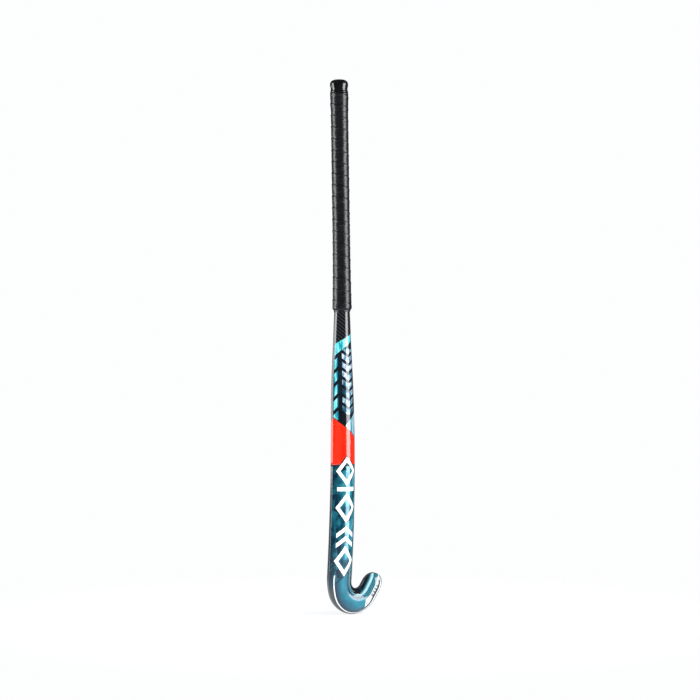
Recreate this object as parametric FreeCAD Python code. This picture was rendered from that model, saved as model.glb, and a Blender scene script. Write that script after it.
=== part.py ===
"""Field hockey stick, 36.5 in, as an assembly of separate solids in millimetres.

+Z runs up the stick, +X points from the shaft to the toe, +Y is the flat hitting side
and -Y the rounded back. The origin is the middle of the stick's footprint, at its lowest level.

Most pieces are slices and shells of one body, so they all come from two functions:
shaft_body() and head_body() draw the stick's D-shaped outline at any inset below the surface.
"""
import FreeCAD, Part
import math
import os

from FreeCAD import Placement, Rotation, Vector

# ---- driving dimensions -------------------------------------------------------------------

LENGTH = 927.4            # along the centre line, which makes 927 overall (36.5 in)

# Side view: two straights joined by a long arc. The stick bows towards its rounded back.
BOW_ANGLE = 6.3           # turn between the lower and the upper straight, degrees
BOW_HEIGHT = 225.0        # where the two straights would meet
BOW_TANGENT = 125.0       # from there to each end of the arc

# Cross-sections of the shaft: height, width, thickness, height of the side facet, face edge radius
SHAFT_SECTIONS = [
    (100, 47.0, 21.0, 8.5, 3.0),
    (160, 46.8, 21.0, 8.5, 3.0),
    (230, 45.8, 21.0, 8.5, 3.0),
    (300, 45.0, 21.2, 8.6, 3.2),
    (360, 43.2, 21.6, 8.8, 3.6),
    (400, 41.0, 21.8, 9.0, 4.4),
    (440, 36.8, 22.0, 9.2, 5.4),
    (475, 32.8, 22.0, 9.4, 6.5),
    (510, 29.8, 22.0, 9.6, 7.6),
    (545, 26.4, 21.6, 9.6, 8.6),
    (620, 23.8, 21.0, 9.8, 9.0),
    (750, 23.4, 20.8, 9.8, 9.0),
    (860, 23.4, 20.8, 9.8, 9.0),
    (925, 24.4, 21.8, 10.2, 9.4),
]
SECTION_STEP = 24.0       # spacing of the outlines that a shaft surface is lofted through
SMALLEST_CORNER = 0.8     # face edge radius left on the innermost surfaces

# Head, seen square to the hitting face. It is a J of tangent arcs and straights.
HEAD_TOP = 100.0          # the head's outlines end here and the shaft's begin
HEAD_WIDTH = 47.0         # across the shaft just above the head
HEAD_THICKNESS = 21.0
HEAD_FACET = 8.5
HEAD_EDGE_RADIUS = 3.0
HEEL_START = 66.83        # height at which the heel side leaves the straight
HEEL_EASE_RADIUS = 100.0  # first, gentle arc of the heel
HEEL_EASE_TURN = 18.0
HEEL_RADIUS = 52.0        # main arc, from the heel round the bottom
CROOK_START = 56.2        # height at which the inner side leaves the straight
CROOK_RADIUS = 11.5
TOE_TURN = 150.0          # total turn from pointing down to the toe's direction, degrees
TOE_STRAIGHT = 14.0       # of the outer edge, after its arc
TOE_END_LENGTH = 23.3     # of the half oval that closes the toe
TOE_END_ANGLES = (22, 42, 58, 70, 79, 85)   # stations round that oval, degrees
TOE_END_ROUNDING = 0.6    # largest face edge radius there, as a share of the half width
LEAD_IN = (16.0, 6.0)     # straight outlines this far above HEEL_START, so the heel starts smooth
HOOK_STEPS = 11           # outlines round the hook

# Laminate and the pieces inside it
WALL = 2.4
GLUE = 0.1                # glue line between bonded pieces
TUBE_WALL = 0.8
FACE_PLY = 1.6
EDGE_PLY = 1.0
EDGE_PLY_DEPTH = 11.0     # how far the edge ply reaches in from the rim
FACE_TRUING = 0.05        # taken off the hitting face to make it truly flat
TUBE_BOTTOM = 101.0       # just above the head core
TUBE_TOP = 800.0
HANDLE_CORE_TOP = 858.0
DAMPER_TOP = 884.0
PLUG_BOTTOM = 889.0
SHELL_TOP = 919.0
PLUG_FLANGE = 1.6

# Grip and end cap
GRIP_BOTTOM = 531.0
GRIP_TOP = 904.0
BASE_TAPE = 0.3
GRIP_THICKNESS = 1.7
BAND_BOTTOM = 525.5
BAND_TOP = 540.0
BAND_THICKNESS = 0.7
SLEEVE_BOTTOM = 885.0     # the cap's thin sleeve runs down under the grip
SLEEVE_WALL = 0.9
SLEEVE_RAMP = 10.0        # the grip rides up onto the sleeve over this length
SLEEVE_STEP = 5.0         # spacing of the grip's outlines over the sleeve
CAP_WIDTH = 32.0
CAP_THICKNESS = 29.0
CAP_BOTTOM = 904.6
CAP_CORNER = 12.8         # corner radius of the cap's outline, seen from above
CAP_EDGE_RADIUS = 8.0     # of the domed top
CAP_EDGE_ANGLES = (0, 20, 40, 60, 75, 90)
CAP_LIP_RADIUS = 1.6      # of the cap's lower rim
CAP_LIP_ANGLES = (0, 45, 90)

# Sizes of cutting blocks, only larger than what they cut
ACROSS = (-60.0, 130.0)       # over the head from heel to toe
UP_THE_HEAD = (-10.0, 120.0)  # from below the head to above it
OVERSHOOT = 5.0               # past the ends of a layer

# ---- the bow ------------------------------------------------------------------------------

LOWER_TILT = BOW_ANGLE * (LENGTH - BOW_HEIGHT) / LENGTH
UPPER_TILT = BOW_ANGLE - LOWER_TILT
BOW_RADIUS = BOW_TANGENT / math.tan(math.radians(BOW_ANGLE) / 2)
ARC_START = BOW_HEIGHT - BOW_TANGENT
ARC_END = ARC_START + BOW_RADIUS * math.radians(BOW_ANGLE)


def spine(height):
    """Position of the stick's centre line, and its tilt in degrees, at a length along it."""
    tilt = math.radians(LOWER_TILT)
    y = -math.sin(tilt) * min(height, ARC_START)
    z = math.cos(tilt) * min(height, ARC_START)
    if height > ARC_START:
        turned = (min(height, ARC_END) - ARC_START) / BOW_RADIUS
        y += BOW_RADIUS * (math.cos(tilt) - math.cos(tilt - turned))
        z += BOW_RADIUS * (math.sin(tilt) - math.sin(tilt - turned))
        tilt -= turned
    if height > ARC_END:
        y -= math.sin(tilt) * (height - ARC_END)
        z += math.cos(tilt) * (height - ARC_END)
    return Vector(0, y, z), math.degrees(tilt)


def on_spine(height):
    """Placement that carries the XY plane to a cross-section of the shaft."""
    point, tilt = spine(height)
    return Placement(point, Rotation(Vector(1, 0, 0), tilt))


HEAD_FRAME = Placement(Vector(0, 0, 0), Rotation(Vector(1, 0, 0), LOWER_TILT))


def head_slab(x_range, y_range, height_range):
    """A box square to the head's hitting face."""
    low = Vector(x_range[0], y_range[0], height_range[0])
    sides = [b - a for a, b in (x_range, y_range, height_range)]
    slab = Part.makeBox(sides[0], sides[1], sides[2], low)
    slab.Placement = HEAD_FRAME
    return slab


# ---- cross-sections -----------------------------------------------------------------------

def d_outline(half, face, shoulder, back, corner):
    """D-shaped wire in the XY plane: flat face at +Y, two side facets and a rounded back."""
    flat = half - corner
    facet_top = face - corner
    bulge = corner * math.sqrt(0.5)
    right = [Vector(flat, face, 0), Vector(flat + bulge, facet_top + bulge, 0),
             Vector(half, facet_top, 0), Vector(half, shoulder, 0)]
    left = [Vector(-p.x, p.y, 0) for p in right]
    return Part.Wire([
        Part.makeLine(left[0], right[0]),
        Part.Arc(right[0], right[1], right[2]).toShape(),
        Part.makeLine(right[2], right[3]),
        Part.Arc(right[3], Vector(0, -back, 0), left[3]).toShape(),
        Part.makeLine(left[3], left[2]),
        Part.Arc(left[2], left[1], left[0]).toShape(),
    ])


def inset_sizes(width, thickness, facet, corner, inset):
    """Sizes for d_outline, measured in from a section's surface. A negative inset is outside."""
    rise = thickness - facet
    crown = ((width / 2) ** 2 + rise ** 2) / (2 * rise)
    half = width / 2 - inset
    reach = math.sqrt(max((crown - inset) ** 2 - half ** 2, 0.0))
    shoulder = crown - thickness / 2 - reach
    side = thickness / 2 - inset
    return half, side, shoulder, side, max(corner - inset, SMALLEST_CORNER)


def section_at(height):
    """Width, thickness, facet and edge radius of the shaft, smooth between SHAFT_SECTIONS."""
    rows = SHAFT_SECTIONS
    last = len(rows) - 1
    i = max(k for k in range(last) if k == 0 or rows[k][0] <= height)
    span = rows[i + 1][0] - rows[i][0]
    t = min(max((height - rows[i][0]) / span, 0.0), 1.0)
    values = []
    for column in range(1, 5):
        slopes = []
        for k in (i, i + 1):
            a, b = rows[max(k - 1, 0)], rows[min(k + 1, last)]
            slopes.append((b[column] - a[column]) / (b[0] - a[0]) * span)
        start, end = rows[i][column], rows[i + 1][column]
        values.append((2 * t ** 3 - 3 * t ** 2 + 1) * start + (t ** 3 - 2 * t ** 2 + t) * slopes[0]
                      + (3 * t ** 2 - 2 * t ** 3) * end + (t ** 3 - t ** 2) * slopes[1])
    return values


def shaft_outline(height, inset):
    wire = d_outline(*inset_sizes(*section_at(height), inset))
    wire.Placement = on_spine(height)
    return wire


def heights_between(bottom, top):
    count = max(2, math.ceil((top - bottom) / SECTION_STEP))
    return [bottom + (top - bottom) * k / count for k in range(count + 1)]


def shaft_body(bottom, top, inset):
    """Solid stretch of the shaft, its surface moved in by inset."""
    return Part.makeLoft([shaft_outline(h, inset) for h in heights_between(bottom, top)], True)


# ---- the head -----------------------------------------------------------------------------

def inward(turn):
    """Unit vector (x, height) from the outer edge to the crook, once the path has turned."""
    angle = math.radians(turn)
    return Vector(math.cos(angle), 0, math.sin(angle))


EASE_CENTRE = Vector(HEEL_EASE_RADIUS - HEAD_WIDTH / 2, 0, HEEL_START)
HEEL_CENTRE = EASE_CENTRE - inward(HEEL_EASE_TURN) * (HEEL_EASE_RADIUS - HEEL_RADIUS)
CROOK_CENTRE = Vector(HEAD_WIDTH / 2 + CROOK_RADIUS, 0, CROOK_START)


def outer_edge(turn):
    if turn < HEEL_EASE_TURN:
        return EASE_CENTRE - inward(turn) * HEEL_EASE_RADIUS
    return HEEL_CENTRE - inward(turn) * HEEL_RADIUS


def inner_edge(turn):
    return CROOK_CENTRE - inward(turn) * CROOK_RADIUS


def head_outline(outer, inner, sizes):
    """A D outline that stands between a point of the outer edge and one of the inner edge."""
    wire = d_outline(*sizes)
    across = inner - outer
    turn = math.degrees(math.atan2(across.z, across.x))
    local = Placement((outer + inner) / 2, Rotation(Vector(0, 1, 0), -turn))
    wire.Placement = HEAD_FRAME.multiply(local)
    return wire


def head_sizes(width, inset):
    return inset_sizes(width, HEAD_THICKNESS, HEAD_FACET, HEAD_EDGE_RADIUS, inset)


def toe_corners():
    """Outer and inner ends of the toe's straight part, square across it, and its direction."""
    along = Vector(math.sin(math.radians(TOE_TURN)), 0, -math.cos(math.radians(TOE_TURN)))
    outer = outer_edge(TOE_TURN) + along * TOE_STRAIGHT
    inner = inner_edge(TOE_TURN)
    return outer, inner + along * (outer - inner).dot(along), along


def toe_end_outlines(inset):
    """Outlines that shrink along a half oval and close the toe."""
    outer, inner, along = toe_corners()
    middle = (outer + inner) / 2
    half, face, shoulder, back, corner = head_sizes((inner - outer).Length, inset)
    outlines = []
    for angle in TOE_END_ANGLES:
        shrink = math.cos(math.radians(angle))
        reach = (TOE_END_LENGTH - inset) * math.sin(math.radians(angle))
        offset = (inner - outer).normalize() * half * shrink
        centre = middle + along * reach
        sizes = (half * shrink, face, shoulder, (back + shoulder) * shrink - shoulder,
                 min(corner, half * shrink * TOE_END_ROUNDING))
        outlines.append(head_outline(centre - offset, centre + offset, sizes))
    return outlines


def head_outlines(inset):
    """Outlines from HEAD_TOP down round the hook to the tip of the toe."""
    edges = []
    for height in (HEAD_TOP, *(HEEL_START + lead for lead in LEAD_IN)):
        edges.append((Vector(-HEAD_WIDTH / 2, 0, height), Vector(HEAD_WIDTH / 2, 0, height)))
    for k in range(HOOK_STEPS + 1):
        turn = TOE_TURN * k / HOOK_STEPS
        edges.append((outer_edge(turn), inner_edge(turn)))
    edges.append(toe_corners()[:2])
    outlines = [head_outline(outer, inner, head_sizes((inner - outer).Length, inset))
                for outer, inner in edges]
    return outlines + toe_end_outlines(inset)


def head_body(inset):
    """Solid head up to HEAD_TOP, its surface moved in by inset."""
    return Part.makeLoft(head_outlines(inset), True)


def stick_body(top, inset):
    """Head and shaft as one solid, its surface moved in by inset."""
    shaft = [shaft_outline(h, inset) for h in heights_between(HEAD_TOP, top)]
    return Part.makeLoft(shaft[:0:-1] + head_outlines(inset), True)


def hollow(outer, inner):
    """The solid between two bodies that end on one level, open at that level."""
    lids = [max(body.Faces, key=lambda face: face.CenterOfMass.z) for body in (outer, inner)]
    faces = lids[0].cut(lids[1]).Faces
    for body, lid in zip((outer, inner), lids):
        faces += [face for face in body.Faces if not face.isSame(lid)]
    return Part.makeSolid(Part.makeShell(faces))


# ---- the laminate and what it holds ---------------------------------------------------------

def outer_shell():
    """Carbon and glass laminate: one moulding from the toe to the open top of the handle."""
    depth = (HEAD_THICKNESS / 2 - FACE_TRUING, HEAD_THICKNESS)
    flat = head_slab(ACROSS, depth, (UP_THE_HEAD[0], ARC_START))
    return hollow(stick_body(SHELL_TOP, 0), stick_body(SHELL_TOP, WALL)).cut(flat)


def face_ply():
    """Aramid and carbon plate just behind the hitting face."""
    back = HEAD_THICKNESS / 2 - WALL - GLUE - FACE_PLY
    return head_body(WALL + GLUE).common(head_slab(ACROSS, (back, HEAD_THICKNESS), UP_THE_HEAD))


def core_side(shape):
    """The part of a head piece that lies behind the face ply."""
    front = HEAD_THICKNESS / 2 - WALL - 2 * GLUE - FACE_PLY
    return shape.common(head_slab(ACROSS, (-HEAD_THICKNESS, front), UP_THE_HEAD))


def edge_zone(grow):
    """The inside of the head's rim strip: everything nearer to the crook than EDGE_PLY_DEPTH."""
    radius = HEEL_RADIUS - WALL - EDGE_PLY_DEPTH + grow
    tall = 4 * HEAD_THICKNESS
    disc = Part.makeCylinder(radius, tall, HEEL_CENTRE - Vector(0, tall / 2, 0), Vector(0, 1, 0))
    disc.Placement = HEAD_FRAME.multiply(disc.Placement)
    above = head_slab(ACROSS, (-tall / 2, tall / 2), (HEEL_CENTRE.z - grow, UP_THE_HEAD[1]))
    return disc.fuse(above)


def edge_ply():
    """Aramid channel laid inside the rim of the heel and the bottom of the head."""
    skin = head_body(WALL + GLUE).cut(head_body(WALL + GLUE + EDGE_PLY))
    return core_side(skin.cut(edge_zone(0)))


def head_core():
    """Rigid foam that fills the head inside the two plies."""
    filled = head_body(WALL + GLUE).common(edge_zone(-GLUE))
    rim = head_body(WALL + EDGE_PLY + 2 * GLUE)
    return core_side(filled.fuse(rim))


def chamber_tube(side):
    """One of the two laminate tubes that fill the shaft; their flat walls form its web."""
    reach = HEAD_WIDTH
    tubes = []
    for inset in (WALL + GLUE, WALL + GLUE + TUBE_WALL):
        gap = inset - WALL
        low = Vector(gap if side > 0 else -reach, -reach, 0)
        half_space = Part.makeBox(reach - gap, 2 * reach, LENGTH, low)
        tubes.append(shaft_body(TUBE_BOTTOM, TUBE_TOP, inset).common(half_space))
    return tubes[0].cut(tubes[1])


def shaft_fill(bottom, top):
    return shaft_body(bottom, top, WALL + GLUE)


def butt_plug():
    """Plastic plug with a flange that covers the laminate's open end."""
    stem = shaft_fill(PLUG_BOTTOM, SHELL_TOP + GLUE)
    flange = shaft_body(SHELL_TOP + GLUE, SHELL_TOP + GLUE + PLUG_FLANGE, 0)
    return stem.fuse(flange).removeSplitter()


# ---- grip and end cap -----------------------------------------------------------------------

def sleeve_lift(height):
    """How far the grip is lifted by the cap's sleeve under it."""
    start = SLEEVE_BOTTOM - SLEEVE_RAMP
    t = min(max((height - start) / SLEEVE_RAMP, 0.0), 1.0)
    return (SLEEVE_WALL + GLUE) * t * t * (3 - 2 * t)


def handle_layer(bottom, top, inside, outside):
    """Closed layer round the handle, between two distances from the laminate."""
    heights = heights_between(bottom, min(top, SLEEVE_BOTTOM - SLEEVE_RAMP))
    if top > SLEEVE_BOTTOM:
        heights += [SLEEVE_BOTTOM - SLEEVE_RAMP * (1 - k / 4) for k in range(1, 5)]
        level = math.ceil((top - SLEEVE_BOTTOM) / SLEEVE_STEP)
        heights += [SLEEVE_BOTTOM + (top - SLEEVE_BOTTOM) * k / level for k in range(1, level + 1)]
    solids = []
    for distance in (outside, inside):
        wires = [shaft_outline(h, -distance - sleeve_lift(h)) for h in heights]
        solids.append(Part.makeLoft(wires, True))
    return solids[0].cut(solids[1])


def grip_base_tape():
    return handle_layer(GRIP_BOTTOM, GRIP_TOP, GLUE, GLUE + BASE_TAPE)


def grip_wrap():
    """Cushioned tape, as one sleeve of its real outer size."""
    inside = BASE_TAPE + 2 * GLUE
    return handle_layer(GRIP_BOTTOM, GRIP_TOP, inside, inside + GRIP_THICKNESS)


def finishing_tape():
    """Band that closes the lower end of the grip and reaches down onto the shaft."""
    over_grip = BASE_TAPE + 3 * GLUE + GRIP_THICKNESS
    band = shaft_body(BAND_BOTTOM, BAND_TOP, -over_grip - BAND_THICKNESS)
    grip_room = shaft_body(GRIP_BOTTOM - GLUE, BAND_TOP + OVERSHOOT, -over_grip)
    shaft_room = shaft_body(BAND_BOTTOM - OVERSHOOT, GRIP_BOTTOM + OVERSHOOT, -GLUE)
    return band.cut(grip_room).cut(shaft_room)


def cap_outline(height, inset):
    sizes = inset_sizes(CAP_WIDTH, CAP_THICKNESS, CAP_THICKNESS / 2, CAP_CORNER, inset)
    wire = d_outline(*sizes)
    wire.Placement = on_spine(height)
    return wire


def end_cap():
    """Rubber cap: a domed top with a rim, and a thin sleeve that runs down under the grip."""
    top = LENGTH
    outlines = []
    for angle in CAP_LIP_ANGLES:
        turn = math.radians(angle)
        outlines.append(cap_outline(CAP_BOTTOM + CAP_LIP_RADIUS * (1 - math.cos(turn)),
                                    CAP_LIP_RADIUS * (1 - math.sin(turn))))
    side = top - CAP_EDGE_RADIUS - CAP_BOTTOM
    outlines += [cap_outline(CAP_BOTTOM + side * share, 0) for share in (0.35, 0.65)]
    for angle in CAP_EDGE_ANGLES:
        turn = math.radians(angle)
        outlines.append(cap_outline(top - CAP_EDGE_RADIUS * (1 - math.sin(turn)),
                                    CAP_EDGE_RADIUS * (1 - math.cos(turn))))
    dome = Part.makeLoft(outlines, True)
    sleeve = shaft_body(SLEEVE_BOTTOM, CAP_BOTTOM + CAP_LIP_RADIUS, -GLUE - SLEEVE_WALL)
    room = shaft_body(SLEEVE_BOTTOM - OVERSHOOT, SHELL_TOP + PLUG_FLANGE + 2 * GLUE, -GLUE)
    return dome.fuse(sleeve).cut(room)


# ---- build ------------------------------------------------------------------------------------

def build():
    return {
        "outer_shell": outer_shell(),
        "face_ply": face_ply(),
        "edge_ply": edge_ply(),
        "head_core": head_core(),
        "chamber_tube_heel_side": chamber_tube(-1),
        "chamber_tube_toe_side": chamber_tube(1),
        "handle_core": shaft_fill(TUBE_TOP + GLUE, HANDLE_CORE_TOP),
        "vibration_damper": shaft_fill(HANDLE_CORE_TOP + GLUE, DAMPER_TOP),
        "butt_plug": butt_plug(),
        "end_cap": end_cap(),
        "grip_base_tape": grip_base_tape(),
        "grip_wrap": grip_wrap(),
        "finishing_tape": finishing_tape(),
    }


def centred(parts):
    """Moves every part so that the origin is the middle of the footprint, at the lowest level."""
    whole = FreeCAD.BoundBox()
    for shape in parts.values():
        whole.add(shape.optimalBoundingBox())
    shift = Vector(-whole.Center.x, -whole.Center.y, -whole.ZMin)
    return {name: shape.translated(shift) for name, shape in parts.items()}, shift, whole


def main():
    os.makedirs("parts", exist_ok=True)
    parts, shift, whole = centred(build())
    for name, shape in parts.items():
        shape.exportStep("parts/" + name + ".step")
        print(f"{name:26s} solids {len(shape.Solids)} valid {shape.isValid()} "
              f"volume {shape.Volume / 1000:8.2f} cm3 faces {len(shape.Faces)}")
    print("size", round(whole.XLength, 2), round(whole.YLength, 2), round(whole.ZLength, 2))
    print("shift", shift)


main()
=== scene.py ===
"""Looks of the field hockey stick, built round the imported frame.

Shapes are worked out in millimetres in the stick's own coordinates (shaft axis at x = y = 0, height
from the bottom of the head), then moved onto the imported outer_shell and scaled to metres.
"""
import math
from functools import partialmethod

import bpy
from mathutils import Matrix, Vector


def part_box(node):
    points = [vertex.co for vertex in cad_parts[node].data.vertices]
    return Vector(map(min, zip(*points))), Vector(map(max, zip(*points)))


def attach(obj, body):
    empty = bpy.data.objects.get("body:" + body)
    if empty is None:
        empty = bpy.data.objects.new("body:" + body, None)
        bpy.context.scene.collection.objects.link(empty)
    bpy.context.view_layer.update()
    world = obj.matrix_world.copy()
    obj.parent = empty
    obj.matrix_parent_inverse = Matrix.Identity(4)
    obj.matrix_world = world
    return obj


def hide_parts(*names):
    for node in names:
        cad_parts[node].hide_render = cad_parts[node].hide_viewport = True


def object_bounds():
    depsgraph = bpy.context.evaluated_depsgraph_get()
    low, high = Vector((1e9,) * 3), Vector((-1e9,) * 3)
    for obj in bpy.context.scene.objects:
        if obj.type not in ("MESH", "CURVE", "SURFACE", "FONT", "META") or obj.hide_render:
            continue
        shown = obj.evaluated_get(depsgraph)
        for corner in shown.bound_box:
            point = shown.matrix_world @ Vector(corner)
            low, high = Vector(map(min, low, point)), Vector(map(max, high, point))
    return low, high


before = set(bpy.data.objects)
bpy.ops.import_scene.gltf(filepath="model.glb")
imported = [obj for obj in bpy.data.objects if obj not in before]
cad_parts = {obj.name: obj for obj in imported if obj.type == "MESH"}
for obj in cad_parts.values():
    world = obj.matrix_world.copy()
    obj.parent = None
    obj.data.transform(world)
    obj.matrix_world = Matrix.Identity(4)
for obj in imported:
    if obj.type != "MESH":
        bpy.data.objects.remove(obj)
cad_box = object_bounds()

MM = 0.001  # a millimetre in the frame's metres
TO_MM = 1000.0

# ---- shape of the stick, in millimetres ----

LENGTH = 927.4
BOW_ANGLE = math.radians(6.3)
BOW_HEIGHT = 225.0
BOW_TANGENT = 125.0
# Sections of the shaft: height, width, thickness, height of the side facet, face edge radius
SHAFT_SECTIONS = [
    (100, 47.0, 21.0, 8.5, 3.0),
    (160, 46.8, 21.0, 8.5, 3.0),
    (230, 45.8, 21.0, 8.5, 3.0),
    (300, 45.0, 21.2, 8.6, 3.2),
    (360, 43.2, 21.6, 8.8, 3.6),
    (400, 41.0, 21.8, 9.0, 4.4),
    (440, 36.8, 22.0, 9.2, 5.4),
    (475, 32.8, 22.0, 9.4, 6.5),
    (510, 29.8, 22.0, 9.6, 7.6),
    (545, 26.4, 21.6, 9.6, 8.6),
    (620, 23.8, 21.0, 9.8, 9.0),
    (750, 23.4, 20.8, 9.8, 9.0),
    (860, 23.4, 20.8, 9.8, 9.0),
    (925, 24.4, 21.8, 10.2, 9.4),
]
HEAD_WIDTH, *HEAD_SECTION = SHAFT_SECTIONS[0][1:]  # the head keeps the lowest section's sizes
HEEL_START = 66.83
HEEL_EASE_RADIUS = 100.0
HEEL_EASE_TURN = 18.0
HEEL_RADIUS = 52.0
CROOK_START = 56.2
CROOK_RADIUS = 11.5
TOE_TURN = 150.0
TOE_STRAIGHT = 14.0
TOE_END_LENGTH = 23.3
TOE_END_ROUNDING = 0.6  # largest face edge radius, as a share of the half width, where the toe narrows
MIN_EDGE_RADIUS = 0.8
WALL = 2.4

# The visible laminate is four meshes that meet edge to edge, at these splits and at GRIP_START.
SHELL_TOP = 919.0
HANDLE_SPLIT = 725.0
SHAFT_SPLIT = 262.0
ROW_STEP = 4.0  # between two outlines of the shaft

GRIP_START = 531.0
GRIP_TOP = 904.0
GRIP_REACH = 2.1  # laminate to the grip's surface
GRIP_WALL = 1.35
GRIP_PITCH = 20.0  # of the wound tape
TAPE_ROWS = 26  # grid lines in one pitch
TAPE_STEP = GRIP_PITCH / TAPE_ROWS
SLEEVE_BOTTOM = 885.0
SLEEVE_RAMP = 10.0
SLEEVE_LIFT = 0.4
BAND_BOTTOM = 526.0
BAND_TOP = 540.0
BAND_WALL = 0.6
BAND_ROWS = 34
BAND_RAMP_START = 527.5  # from here the band rises from the shaft onto the grip
BAND_RAMP = 5.0
BAND_OVER_SHAFT = 0.95
BAND_TURN_EDGE = 534.5  # lower edge of its second turn
CAP_WIDTH = 32.0
CAP_THICKNESS = 29.0
CAP_BOTTOM = 904.6
CAP_EDGE_RADIUS = 8.0
CAP_LIP = 1.5  # radius of the rolled lip, in height

LOWER_TILT = BOW_ANGLE * (LENGTH - BOW_HEIGHT) / LENGTH
BOW_RADIUS = BOW_TANGENT / math.tan(BOW_ANGLE / 2)
ARC_START = BOW_HEIGHT - BOW_TANGENT
ARC_END = ARC_START + BOW_RADIUS * BOW_ANGLE


def spine(height):
    """Centre line (y, z) and tilt at a length along the stick."""
    tilt = LOWER_TILT
    y = -math.sin(tilt) * min(height, ARC_START)
    z = math.cos(tilt) * min(height, ARC_START)
    if height > ARC_START:
        turned = (min(height, ARC_END) - ARC_START) / BOW_RADIUS
        y += BOW_RADIUS * (math.cos(tilt) - math.cos(tilt - turned))
        z += BOW_RADIUS * (math.sin(tilt) - math.sin(tilt - turned))
        tilt -= turned
    if height > ARC_END:
        y -= math.sin(tilt) * (height - ARC_END)
        z += math.cos(tilt) * (height - ARC_END)
    return y, z, tilt


def section_at(height):
    """Width, thickness, facet and edge radius, smooth between the rows of SHAFT_SECTIONS."""
    rows = SHAFT_SECTIONS
    last = len(rows) - 1
    i = max(k for k in range(last) if k == 0 or rows[k][0] <= height)
    span = rows[i + 1][0] - rows[i][0]
    t = min(max((height - rows[i][0]) / span, 0.0), 1.0)
    values = []
    for column in range(1, 5):
        slopes = []
        for k in (i, i + 1):
            a, b = rows[max(k - 1, 0)], rows[min(k + 1, last)]
            slopes.append((b[column] - a[column]) / (b[0] - a[0]) * span)
        start, end = rows[i][column], rows[i + 1][column]
        values.append((2 * t ** 3 - 3 * t ** 2 + 1) * start + (t ** 3 - 2 * t ** 2 + t) * slopes[0]
                      + (3 * t ** 2 - 2 * t ** 3) * end + (t ** 3 - t ** 2) * slopes[1])
    return values


def inset_sizes(width, thickness, facet, corner, inset):
    """Half width, face, shoulder, back and edge radius of a section at an inset, for d_points."""
    rise = thickness - facet
    crown = ((width / 2) ** 2 + rise ** 2) / (2 * rise)
    half = width / 2 - inset
    reach = math.sqrt(max((crown - inset) ** 2 - half ** 2, 0.0))
    shoulder = crown - thickness / 2 - reach
    return half, thickness / 2 - inset, shoulder, thickness / 2 - inset, \
        max(corner - inset, MIN_EDGE_RADIUS)


BACK_STEPS = 44
CORNER_STEPS = 6
FACE_STEPS = 6
CREASE = 0.55  # support points stand this far from the crease beside the facet


def d_points(half, face, shoulder, back, corner):
    """Points round the D outline as (x, y, around, edge).

    around is the distance from the middle of the rounded back, edge the distance past the crease
    between back and side facet, negative on the back.
    """
    rise = shoulder + back
    radius = (half ** 2 + rise ** 2) / (2 * rise)
    centre = radius - back
    sweep = math.atan2(half, centre - shoulder)
    arc = radius * sweep
    facet = face - corner - shoulder
    near = min(CREASE, facet / 4, arc / 8)
    side = []
    for k in range(FACE_STEPS):
        share = k / FACE_STEPS
        x = (half - corner) * share
        side.append((x, face, arc * x / half, facet + corner * math.pi / 2 + half - corner - x))
    for k in range(CORNER_STEPS + 1):
        turn = math.pi / 2 * k / CORNER_STEPS
        side.append((half - corner + corner * math.sin(turn), face - corner + corner * math.cos(turn),
                     arc + facet * k / CORNER_STEPS, facet + corner * (math.pi / 2 - turn)))
    for drop in (facet / 2, facet - near):
        side.append((half, face - corner - drop, arc + facet - drop, facet - drop))
    bottom = []
    for k in range(BACK_STEPS + 1):
        share = 1 - 2 * k / BACK_STEPS
        if k in (1, BACK_STEPS - 1):
            share = math.copysign(1 - near / arc, share)
        turn = sweep * share
        bottom.append((radius * math.sin(turn), centre - radius * math.cos(turn),
                       arc * share, arc * (abs(share) - 1)))
    left = [(-x, y, -around, edge) for x, y, around, edge in side[:0:-1]]
    return side + bottom + left


def shaft_row(height, inset):
    """One outline of the shaft: (position, around, edge, along) for each point."""
    y, z, tilt = spine(height)
    row = []
    for px, py, around, edge in d_points(*inset_sizes(*section_at(height), inset)):
        row.append((Vector((px, y + py * math.cos(tilt), z + py * math.sin(tilt))),
                    around, edge, height))
    return row


def inward(turn):
    """Direction from the rim towards the crook after a turn round the hook, in degrees."""
    angle = math.radians(turn)
    return Vector((math.cos(angle), 0, math.sin(angle)))


EASE_CENTRE = Vector((HEEL_EASE_RADIUS - HEAD_WIDTH / 2, 0, HEEL_START))
HEEL_CENTRE = EASE_CENTRE - inward(HEEL_EASE_TURN) * (HEEL_EASE_RADIUS - HEEL_RADIUS)
CROOK_CENTRE = Vector((HEAD_WIDTH / 2 + CROOK_RADIUS, 0, CROOK_START))
HOOK_RATE = 0.6  # how much "along" falls for each degree round the hook
STRAIGHT_STEPS = 9  # outlines down the straight start of the head,
HOOK_STEPS = 64  # round the hook,
TOE_STEPS = 7  # along the straight toe
TIP_STEPS = 26  # and round the toe's end
TIP_SWEEP = math.radians(87)


def outer_edge(turn):
    if turn < HEEL_EASE_TURN:
        return EASE_CENTRE - inward(turn) * HEEL_EASE_RADIUS
    return HEEL_CENTRE - inward(turn) * HEEL_RADIUS


def inner_edge(turn):
    return CROOK_CENTRE - inward(turn) * CROOK_RADIUS


def head_row(outer, inner, sizes, along):
    """One outline of the head between a point of its outer edge and one of its inner edge."""
    middle = (outer + inner) / 2
    across = (inner - outer).normalized()
    row = []
    for px, py, around, edge in d_points(*sizes):
        flat = middle + across * px
        y = py * math.cos(LOWER_TILT) - flat.z * math.sin(LOWER_TILT)
        z = py * math.sin(LOWER_TILT) + flat.z * math.cos(LOWER_TILT)
        row.append((Vector((flat.x, y, z)), around, edge, along))
    return row


def head_sizes(width, inset):
    return inset_sizes(width, *HEAD_SECTION, inset)


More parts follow.
